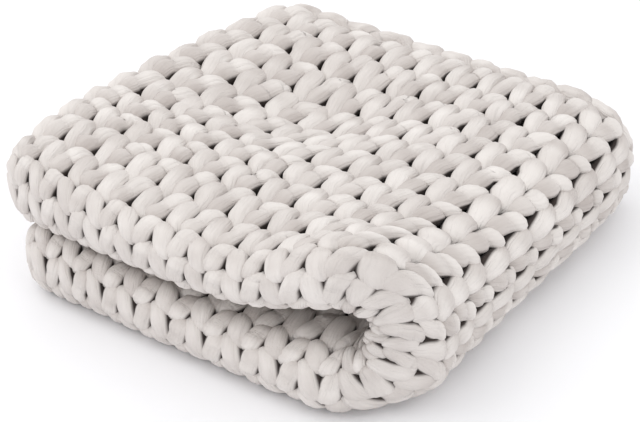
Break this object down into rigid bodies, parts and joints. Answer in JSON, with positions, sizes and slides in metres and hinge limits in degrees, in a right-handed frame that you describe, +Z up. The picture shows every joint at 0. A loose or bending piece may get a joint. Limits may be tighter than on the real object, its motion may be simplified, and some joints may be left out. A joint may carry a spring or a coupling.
{
  "type": "weighted blanket",
  "caption": "Chunky hand-knitted weighted blanket of thick soft tube yarn, folded twice into a square layered stack that lies flat.",
  "frame": {"origin": "on the floor, under the middle of the folded blanket's box", "axes": "+Z up, -Y towards the round front fold, +X towards the round side fold"},
  "size_m": [0.608, 0.6402, 0.2105],
  "materials": {
    "tube_cloth": "soft matt jersey tube, light warm greige"
  },
  "bodies": {
    "root": {"blanket": "tube_cloth"}
  },
  "joints": []
}
